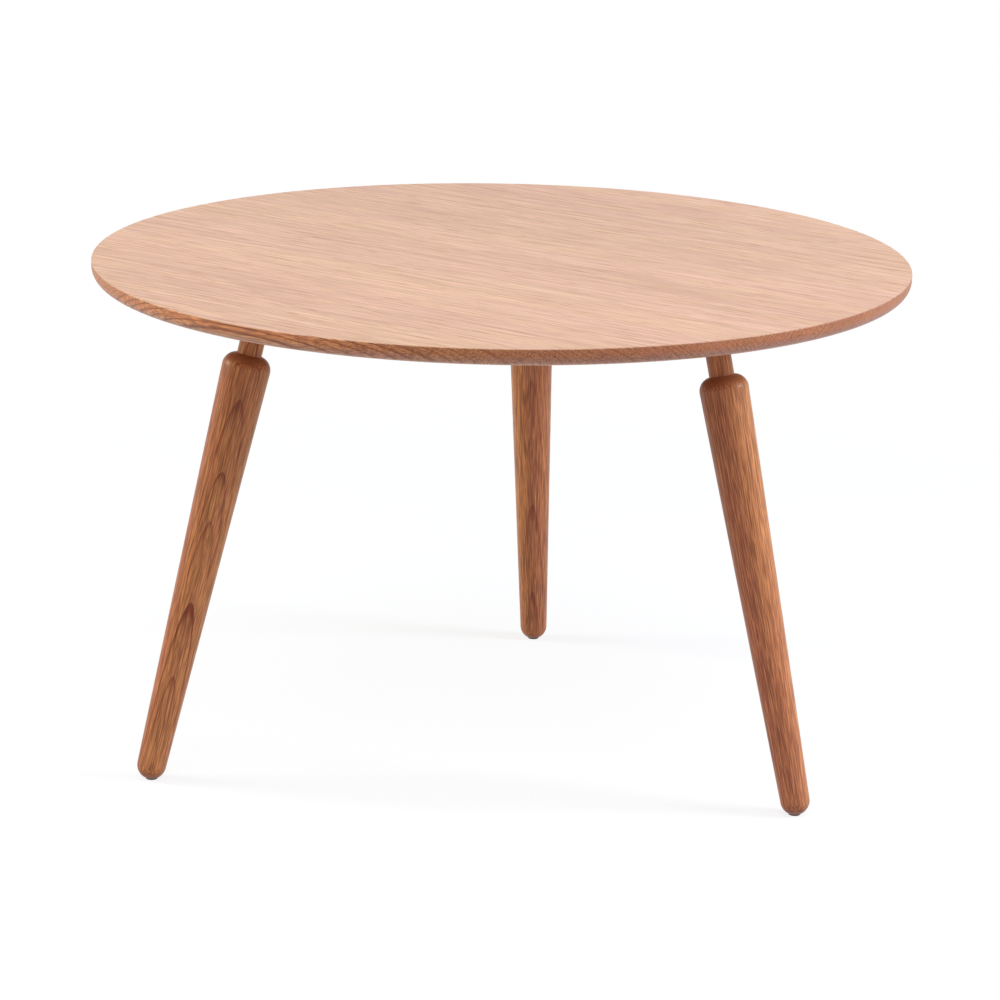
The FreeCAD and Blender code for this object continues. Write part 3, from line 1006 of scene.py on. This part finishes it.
@dataclass
class Underframe:
    """Three rails, mitred and dowelled at the centre, that carry the top and take the tenons."""

    layout: Layout
    width: float = 0.046
    end_wall: float = 0.020
    end_chamfer: float = 0.012
    arris: float = 0.002
    arris_steps: int = 5
    tenon_clearance: float = 0.0001
    tenon_segments: int = 96
    slot_width: float = 0.0047
    slot_travel: float = 0.004
    bore_width: float = 0.014
    bore_depth: float = 0.014
    slot_segments: int = 48
    overrun: float = 0.010
    dowel_radius: float = 0.003
    dowel_length: float = 0.030
    dowel_distance: float = 0.014
    dowel_spacing: float = 0.013
    dowel_chamfer: float = 0.0008
    dowel_clearance: float = 0.0001
    dowel_end_gap: float = 0.0005
    dowel_hole_segments: int = 36
    dowel_smoothing: float = 20
    flute_count: int = 24
    flute_depth: float = 0.08
    flute_inset: float = 3.0  # in chamfers, from the end of a dowel
    flute_share: float = 0.2  # of the spacing of the flutes, to either side of a pressed line
    rails: list[Blank] = field(default_factory=list)
    dowels: Blank | None = None

    def build(self) -> None:
        """Make one rail and copy it round the table, then the dowels."""
        self.rails = self.rail().spread("oak_rail", self.layout.leg_turns())
        self.dowels = self.dowel_group()

    def rail(self) -> Blank:
        """A rail along +X: mitred, chamfered, rounded and drilled.

        Returns:
            The new piece.
        """
        layout, half = self.layout, self.width / 2
        tenon_end = layout.axis_radius(layout.rail_bottom) + layout.neck_radius / math.cos(layout.splay)
        outer = tenon_end + self.end_wall
        rail = Blank.block("rail_model", (0, -half, layout.rail_bottom), (outer, half, layout.underside))
        mitre = math.pi / layout.leg_count
        for side in (-1, 1):
            rail.saw((0, 0, 0), (-math.sin(mitre), side * math.cos(mitre), 0))
        self.soften(rail, outer)
        bore = layout.neck_radius + self.tenon_clearance
        tenon = Blank.rod("tenon_drill", bore, 0, 2 * layout.height, self.tenon_segments)
        tools = [tenon.settle(layout.leg_place(0))]
        through = layout.underside - layout.rail_bottom + self.overrun
        for radius in layout.screw_radii():
            tools.append(self.slot_tool(self.slot_width, radius, through))
            tools.append(self.slot_tool(self.bore_width, radius, self.bore_depth))
        hole, reach = self.dowel_radius + self.dowel_clearance, self.dowel_length / 2 + self.dowel_end_gap
        drill = Blank.rod("dowel_drill", hole, -reach, reach, self.dowel_hole_segments)
        tools += drill.spread("dowel_drill", self.dowel_places((-mitre, mitre)))
        return rail.shape(tools).smooth()

    def soften(self, rail: Blank, outer: float) -> None:
        """Chamfer the lower outer end of a rail and round its lower edges.

        Args:
            rail: The rail along +X.
            outer: Where its outer end is.
        """
        low, high, half = self.layout.rail_bottom, self.layout.underside, self.width / 2

        def is_outer_edge(edge: bmesh.types.BMEdge) -> bool:
            """Whether an edge runs across the rail at its lower outer end."""
            return all(abs(v.co.x - outer) < NEAR and abs(v.co.z - low) < NEAR for v in edge.verts)

        def is_lower_edge(edge: bmesh.types.BMEdge) -> bool:
            """Whether an edge runs along one side of the rail, below the top."""
            first, last = (v.co for v in edge.verts)
            return (abs(abs(first.y) - half) < NEAR and abs(first.y - last.y) < NEAR
                    and max(first.z, last.z) < high - NEAR)

        rail.bevel(is_outer_edge, self.end_chamfer, 1)
        rail.bevel(is_lower_edge, self.arris, self.arris_steps)

    def slot_tool(self, width: float, x: float, depth: float) -> Blank:
        """Solid that cuts a slot with round ends into a rail from below.

        Args:
            width: Width of the slot.
            x: Its middle along the rail.
            depth: How deep it goes.

        Returns:
            The new piece.
        """
        bottom = self.layout.rail_bottom
        tool = Blank.rod("slot_tool", width / 2, bottom - self.overrun, bottom + depth, self.slot_segments)
        mesh = tool.open("VERT")
        for side in (-1, 1):
            tool.pick(mesh.verts, lambda vert: vert.co.x * side > NEAR)
            bpy.ops.transform.translate(value=(side * self.slot_travel / 2, 0, 0))
        return tool.close().settle(Matrix.Translation((x, 0, 0)))

    def dowel_places(self, mitres: Iterable[float]) -> list[Matrix]:
        """Where pieces made along Z about the origin go to lie square across mitres, two in each.

        Args:
            mitres: Directions of the mitres.

        Returns:
            The places.
        """
        middle = (self.layout.underside + self.layout.rail_bottom) / 2
        heights = [middle - self.dowel_spacing / 2, middle + self.dowel_spacing / 2]
        lays = [Matrix.Translation((self.dowel_distance, 0, height)) @ Matrix.Rotation(math.pi / 2, 4, "X")
                for height in heights]
        return [Matrix.Rotation(mitre, 4, "Z") @ lay for mitre in mitres for lay in lays]

    def dowel_group(self) -> Blank:
        """All the dowels, with chamfered ends and pressed flutes.

        Returns:
            The group.
        """
        radius, reach, chamfer = self.dowel_radius, self.dowel_length / 2, self.dowel_chamfer
        inner = reach - self.flute_inset * chamfer
        model = Blank.turn("dowel_model", [
            (radius - chamfer, -reach), (radius, chamfer - reach), (radius, -inner), (radius, inner),
            (radius, reach - chamfer), (radius - chamfer, reach)], 2 * self.flute_count)
        self.press_flutes(model, inner)
        step = math.pi / self.layout.leg_count
        places = self.dowel_places(angle + step for angle in self.layout.leg_angles())
        return Blank.join("beech_dowels", model.smooth(self.dowel_smoothing).spread("dowel", places))

    def press_flutes(self, dowel: Blank, inner: float) -> None:
        """Press every other side line of a dowel inwards.

        Args:
            dowel: The dowel along Z.
            inner: How far from the middle the flutes reach.
        """
        spacing = 2 * math.pi / self.flute_count

        def in_flute(vert: bmesh.types.BMVert) -> bool:
            """Whether a vertex lies on a side line that is pressed in."""
            turn = math.atan2(vert.co.y, vert.co.x) / spacing
            return abs(vert.co.z) < inner + NEAR and abs(turn - round(turn)) < self.flute_share

        dowel.pick(dowel.open("VERT").verts, in_flute)
        shrink = 1 - self.flute_depth
        bpy.ops.transform.resize(value=(shrink, shrink, 1), center_override=(0, 0, 0))
        dowel.close()

    def dress(self, oak: Oak, cuts: Sequence[Sawn], beech: Material) -> None:
        """Give each rail the finish of how it was sawn, and the dowels theirs."""
        hand_over_all(self.rails, Slot.RAIL, oak.materials("rail_oak", cuts), "underframe_rail")
        self.dowels.hand_over(Slot.BEECH, beech, "underframe_dowels")


@dataclass
class RailFixings:
    """The round-headed screws that hold the rails to the top, and their washers."""

    layout: Layout
    seat_depth: float = 0.014
    shank_radius: float = 0.00225
    bite: float = 0.010
    point_length: float = 0.003
    head_radius: float = 0.0045
    head_height: float = 0.0035
    head_round: float = 0.0015
    head_steps: int = 8
    recess_width: float = 0.0011
    recess_span: float = 0.005
    recess_depth: float = 0.002
    washer_radius: float = 0.006
    washer_thickness: float = 0.001
    washer_arris: float = 0.0002
    clearance: float = 0.0001
    segments: int = 48
    screws: Blank | None = None
    washers: Blank | None = None

    def build(self) -> None:
        """Make one screw and one washer, and copy them to every hole."""
        places = [Matrix.Translation(spot) @ Matrix.Rotation(math.atan2(spot.y, spot.x), 4, "Z")
                  for spot in self.layout.screw_spots()]
        self.screws = Blank.join("zinc_screws", self.screw().spread("screw", places))
        self.washers = Blank.join("zinc_washers", self.washer().spread("washer", places))

    def screw(self) -> Blank:
        """A screw on the Z axis, pointing up, with a cross recess in its head.

        Returns:
            The new piece.
        """
        seat = self.layout.rail_bottom + self.seat_depth - self.washer_thickness
        low = seat - self.head_height
        point = self.layout.underside + self.bite
        flat, shank = self.head_radius - self.head_round, self.shank_radius
        outline = [(flat, low)]
        outline += arc((flat, low + self.head_round), self.head_round, -90, 0, self.head_steps)
        outline += [(self.head_radius, seat), (shank, seat), (shank, point - self.point_length),
                    (shank / POINT_FINENESS, point)]
        screw = Blank.turn("screw_model", outline, self.segments)
        arms = []
        for long, wide in ((self.recess_span, self.recess_width), (self.recess_width, self.recess_span)):
            arms.append(Blank.block("recess", (-long / 2, -wide / 2, low - self.recess_depth),
                                    (long / 2, wide / 2, low + self.recess_depth)))
        return screw.shape(arms).smooth()

    def washer(self) -> Blank:
        """A washer on the Z axis, with slightly rounded rims.

        Returns:
            The new piece.
        """
        high = self.layout.rail_bottom + self.seat_depth
        low = high - self.washer_thickness
        radius, soft = self.washer_radius, self.washer_arris
        outline = [(radius - soft, low), (radius, low + soft), (radius, high - soft), (radius - soft, high)]
        washer = Blank.turn("washer_model", outline, self.segments)
        hole = Blank.rod("bore", self.shank_radius + self.clearance, low - soft, high + soft, self.segments)
        return washer.shape([hole]).smooth()

    def dress(self, zinc: Material) -> None:
        """Give the screws and washers their finish."""
        self.screws.hand_over(Slot.ZINC, zinc, "rail_screws")
        self.washers.hand_over(Slot.ZINC, zinc, "rail_washers")


@dataclass
class Feet:
    """The moulded glides under the legs, each held by a nail."""

    layout: Layout
    glide_radius: float = 0.0055
    glide_round: float = 0.0006
    glide_steps: int = 6
    glide_segments: int = 64
    nail_radius: float = 0.0009
    nail_length: float = 0.015
    nail_segments: int = 24
    head_radius: float = 0.0025
    head_height: float = 0.0008
    head_cover: float = 0.0009
    clearance: float = 0.0001
    glides: list[Blank] = field(default_factory=list)
    nails: Blank | None = None

    def nail(self, clearance: float) -> Blank:
        """A nail under the leg at angle 0, or with a clearance the space that holds it.

        Args:
            clearance: How much larger it is all round.

        Returns:
            The new piece.
        """
        shank, head = self.nail_radius + clearance, self.head_radius + clearance
        low, high = self.head_cover - clearance, self.head_cover + self.head_height + clearance
        point = self.layout.glide_thickness + self.nail_length
        nail = Blank.turn("nail", [
            (head, low), (head, high), (shank, high), (shank, point - 2 * self.nail_radius),
            (shank / POINT_FINENESS, point + clearance)], self.nail_segments)
        return self.under_foot(nail)

    def under_foot(self, blank: Blank) -> Blank:
        """Move a piece made about Z under the foot of the leg at angle 0."""
        return blank.settle(Matrix.Translation((self.layout.foot_distance, 0, 0)))

    def foot_holes(self) -> list[Blank]:
        """The spaces in a foot for the upper part of its glide and for the nail."""
        radius, thick = self.glide_radius + self.clearance, self.layout.glide_thickness
        return [self.under_foot(Blank.rod("seat", radius, -thick, thick, self.glide_segments)),
                self.nail(self.clearance)]

    def build(self) -> None:
        """Make one glide and one nail, and copy them under every leg."""
        radius, soft, thick = self.glide_radius, self.glide_round, self.layout.glide_thickness
        outline = [(radius - soft, 0)] + arc((radius - soft, soft), soft, -90, 0, self.glide_steps)
        glide = Blank.turn("glide_model", outline + [(radius, thick)], self.glide_segments)
        self.under_foot(glide).shape([self.nail(self.clearance)]).smooth()
        turns = self.layout.leg_turns()
        self.glides = glide.spread("nylon_glide", turns)
        self.nails = Blank.join("zinc_nails", self.nail(0).smooth().spread("nail_copy", turns))

    def dress(self, nylon: Material, zinc: Material) -> None:
        """Give the glides and the nails their finishes."""
        hand_over_all(self.glides, Slot.GLIDE, [nylon] * len(self.glides), "foot_glide")
        self.nails.hand_over(Slot.ZINC, zinc, "glide_nails")


@dataclass(frozen=True)
class Lamp:
    """A square soft lamp: where it hangs, where it points, the length of its side and its power in watts."""

    name: str
    place: Triple
    target: Triple
    size: float
    power: float
    colour: Colour = (1.0, 1.0, 1.0)

    def hang(self) -> None:
        """Add the lamp to the scene."""
        bpy.ops.object.light_add(type="AREA", location=self.place)
        lamp = bpy.context.active_object
        lamp.name = self.name
        lamp.rotation_euler = (Vector(self.target) - Vector(self.place)).to_track_quat("-Z", "Y").to_euler()
        lamp.data.size = self.size
        lamp.data.energy = self.power
        lamp.data.color = self.colour


@dataclass
class Studio:
    """A pale floor, soft lamps and the camera."""

    floor_size: float = 60.0
    shadow_reach: Span = (0.75, 1.5)
    paper: Colour = (0.6, 0.6, 0.6)
    shade: Colour = (0.22, 0.235, 0.27)
    glow: float = 0.80
    sky: float = 0.28
    sky_colour: Colour = (1.0, 0.93, 0.91)
    lamps: tuple[Lamp, ...] = (
        Lamp("overhead", (0.2, -1.0, 2.4), (0, 0, 0.4), 3.0, 35.5),
        Lamp("left_side", (-2.2, 0.0, 1.2), (0, 0, 0.3), 0.9, 32.0, (1.0, 0.98, 0.70)),
        Lamp("right_side", (2.2, -0.1, 1.35), (0, 0, 0.3), 0.8, 39.0, (0.93, 0.96, 1.0)))
    lens: float = 154.9
    sensor: float = 36.0
    camera_place: Triple = (0.4537, -3.9074, 1.2757)
    camera_heading: float = math.radians(-6.588)
    camera_pitch: float = math.radians(14.786)
    camera_roll: float = math.radians(-1.074)

    def build(self) -> None:
        """Set up the floor, the world, the lamps and the camera."""
        bpy.context.scene.view_settings.view_transform = "Standard"
        self.floor()
        self.world()
        for lamp in self.lamps:
            lamp.hang()
        self.camera()

    def white_seen(self, shader: Shader) -> Socket:
        """1 where a ray comes from the camera, or by way of gloss or glass."""
        path = shader.add("ShaderNodeLightPath").outputs
        return shader.math("MAXIMUM", path["Is Transmission Ray"],
                           shader.math("MAXIMUM", path["Is Camera Ray"], path["Is Glossy Ray"]))

    def floor(self) -> None:
        """A wide pale floor that keeps the table's shadow and is open from below."""
        bpy.ops.mesh.primitive_plane_add(size=self.floor_size)
        floor = bpy.context.active_object
        floor.name = "studio_floor"
        shader = Shader(bpy.data.materials.new("pale_floor"))
        away = shader.span(shader.vector("LENGTH", shader.surface()), *self.shadow_reach)
        paper, shade = (shader.shade("ShaderNodeBsdfDiffuse", {"Color": (*colour, 1)})
                        for colour in (self.paper, self.shade))
        glow, white = (shader.shade("ShaderNodeEmission", {"Strength": strength})
                       for strength in (self.glow, 1.0))
        near = shader.shade("ShaderNodeAddShader", {0: shade, 1: glow})
        above = shader.mix(self.white_seen(shader), paper, shader.mix(away, near, white))
        below = shader.shade("ShaderNodeBsdfTransparent")
        behind = shader.add("ShaderNodeNewGeometry").outputs["Backfacing"]
        floor.data.materials.append(shader.finish(shader.mix(behind, above, below)))
        floor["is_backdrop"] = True

    def world(self) -> None:
        """An even sky that is white where it is seen."""
        shader = Shader(bpy.data.worlds.new("studio"))
        dim = shader.shade("ShaderNodeBackground", {"Color": (*self.sky_colour, 1), "Strength": self.sky})
        white = shader.shade("ShaderNodeBackground", {"Color": (1, 1, 1, 1)})
        sky = shader.mix(self.white_seen(shader), dim, white)
        bpy.context.scene.world = shader.finish(sky, "ShaderNodeOutputWorld")

    def camera(self) -> None:
        """Stand the camera where the photograph was taken from."""
        bpy.ops.object.camera_add(location=self.camera_place)
        camera = bpy.context.active_object
        tilt = Matrix.Rotation(math.pi / 2 - self.camera_pitch, 3, "X")
        heading, roll = (Matrix.Rotation(-angle, 3, "Z") for angle in (self.camera_heading, self.camera_roll))
        camera.rotation_euler = (heading @ tilt @ roll).to_euler()
        camera.data.lens = self.lens
        camera.data.sensor_width = self.sensor
        bpy.context.scene.camera = camera


def board_cuts(top: TableTop) -> list[Sawn]:
    """How the boards of the top were sawn, from front to back.

    Args:
        top: The table's top.

    Returns:
        One description for each board.
    """
    turn = Euler((0, 0, top.grain_angle))
    edges = top.edges()
    hearts = [(-0.50, -0.6), (-0.45, -0.6), (0.55, -0.6), (0.50, -0.5), (-0.40, -0.6), (0.40, -0.6)]
    tones = [0.98, 1.0, 0.99, 0.98, 0.97, 1.02]
    slopes = [0.0, 0.8, -0.6, -1.0, -0.8, 0.8]
    cuts = []
    for front, back, heart, tone, slope in zip(edges, edges[1:], hearts, tones, slopes):
        origin = top.across * ((front + back) / 2) + Vector((0, 0, top.layout.underside))
        cuts.append(Sawn(turn=turn, origin=origin, heart=heart, taper=0.006, shift=3.7 * (len(cuts) + 1),
                         tone=tone, slope=(0.0, slope, 0.0)))
    return cuts


def leg_cuts(layout: Layout) -> list[Sawn]:
    """How the legs were sawn.

    Args:
        layout: The shared places.

    Returns:
        One description for each leg.
    """
    upward = Matrix.Rotation(-math.pi / 2, 3, "Y")
    heart_directions = [math.radians(angle) for angle in (95, 101, 5)]
    heart_distances = [0.060, 0.060, 0.080]
    tapers = [-0.055, -0.066, -0.004]
    # Painted light and shade: how much paler each leg is on its lit side
    painted_side_light = [-3.0, 12.0, 11.0]
    tones = [1.03, 1.08, 1.05]
    figures = [0.5, 0.75, 0.3]
    cuts = []
    for number, angle in enumerate(layout.leg_angles()):
        place = layout.leg_place(angle)
        turn = place.to_3x3() @ upward
        direction = Vector((math.cos(heart_directions[number]), math.sin(heart_directions[number]), 0))
        heart = turn.transposed() @ direction * heart_distances[number]
        slope = turn.transposed() @ Vector((painted_side_light[number], 0, 0))
        cuts.append(Sawn(turn=turn.to_euler(), origin=place.translation.copy(), heart=(heart.y, heart.z),
                         taper=tapers[number], shift=11.0 + 2.3 * number, tone=tones[number],
                         figure=figures[number], slope=(0.0, slope.y, slope.z)))
    return cuts


def rail_cuts(layout: Layout) -> list[Sawn]:
    """How the rails were sawn, in the order of their nodes."""
    origin = Vector((0, 0, layout.rail_bottom))
    return [Sawn(turn=Euler((0, 0, angle)), origin=origin, heart=(0.03, -0.05), shift=23.0 + number)
            for number, angle in enumerate(layout.leg_angles())]


def write_sizes() -> None:
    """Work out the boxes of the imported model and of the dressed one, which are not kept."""
    boxes = {"cad_box": CAD_BOX, "visual_box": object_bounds()}
    {name: [list(low), list(high)] for name, (low, high) in boxes.items()}


def main() -> None:
    """Build and dress every part of the table, then the studio round it."""
    logging.basicConfig(level=logging.INFO, format="%(name)s: %(message)s")
    layout = Layout.from_frame()
    top_oak = Oak(
        light=(0.77, 0.465, 0.315), dark=(0.52, 0.265, 0.165), pore=(0.36, 0.16, 0.09),
        end_tint=(0.68, 0.65, 0.69), blush=0.018, roughness=0.32,
        # Painted light by facing: paler arris as a painted highlight, mauve and darker under-round as painted
        # shade and floor bounce, deeper upright edge
        painted_light_by_facing=((-0.97, (0.92, 0.84, 0.78)), (-0.7, (0.86, 0.74, 0.80)), (-0.25, (0.88, 0.65, 0.53)),
                     (-0.05, (0.87, 0.58, 0.38)), (0.2, (0.87, 0.58, 0.38)), (0.5, (1.0, 0.98, 0.88)),
                     (0.9, (1.0, 1.0, 1.0))),
        edge_lines=1.6, edge_specks=0.5, edge_contrast=1.2, edge_roughness=0.08,
        ring_width=0.004, ring_fade=0.5, ring_depth=0.45, end_ring_depth=1.2,
        fibres=Figure(1 / 0.09, 1 / 0.0020, 1.5), fibre_depth=2.9, streaks=Figure(1 / 0.3, 150.0, 3.0),
        streak_depth=0.45, band_depth=0.5, speckle_depth=0.7)
    leg_oak = Oak(
        light=(0.62, 0.273, 0.120), dark=(0.26, 0.058, 0.034), pore=(0.12, 0.03, 0.018),
        end_tint=(0.72, 0.67, 0.70), blush=0.03, roughness=0.32, gloss=0.25, edge_specks=0.58,
        ring_width=0.003, ring_fade=0.2, ring_depth=1.0, ring_breaks=0.85, end_ring_depth=0.5, wave=0.002,
        fibres=Figure(1 / 0.05, 1 / 0.0012, 1.5), fibre_depth=1.1, streaks=Figure(1 / 0.2, 150.0, 3.0),
        streak_depth=0.35, line_depth=0.3, grain=Figure(1 / 0.03, 900.0, 1.0), end_pore_depth=0.4)
    rail_oak = Oak(light=(0.60, 0.32, 0.17), dark=(0.36, 0.16, 0.08), pore=(0.22, 0.09, 0.05))
    beech = Plain(
        base=(0.62, 0.42, 0.27), mark=(0.42, 0.24, 0.13), roughness=0.6, relief=0.00004, relief_strength=0.5,
        marks=(900.0, 900.0, 260.0), mark_span=(0.56, 0.7), mark_depth=0.7, mark_roughness=0.15, sunk=True,
        grain=(60.0, 60.0, 20.0), grain_depth=0.3).material("bare_beech")
    zinc = Plain(
        base=(0.68, 0.68, 0.66), mark=(0.48, 0.47, 0.44), roughness=0.28, relief=0.00003, relief_strength=0.3,
        marks=(120.0, 120.0, 120.0), mark_span=(0.45, 0.75), metallic=1.0,
        grain=(700.0, 700.0, 700.0), grain_detail=3.0, grain_roughness=0.25).material("zinc_plate")
    nylon = Plain(
        base=(0.05, 0.035, 0.03), mark=(0.13, 0.10, 0.085), roughness=0.42, relief=0.00003,
        relief_strength=0.4, marks=(900.0, 260.0, 900.0), mark_detail=3.0, mark_span=(0.5, 0.75),
        mark_depth=0.6, mark_roughness=0.25, grain=(2600.0, 2600.0, 2600.0)).material("brown_nylon")

    top = TableTop(layout)
    top.build()
    top.dress(top_oak, board_cuts(top))
    wedges = TenonWedges(layout)
    feet = Feet(layout)
    legs = LegSet(layout)
    legs.build(wedges.slot(), feet.foot_holes())
    legs.dress(leg_oak, leg_cuts(layout))
    wedges.build()
    wedges.dress(beech)
    underframe = Underframe(layout)
    underframe.build()
    underframe.dress(rail_oak, rail_cuts(layout), beech)
    fixings = RailFixings(layout)
    fixings.build()
    fixings.dress(zinc)
    feet.build()
    feet.dress(nylon, zinc)
    Studio().build()
    write_sizes()


if __name__ == "__main__":
    main()
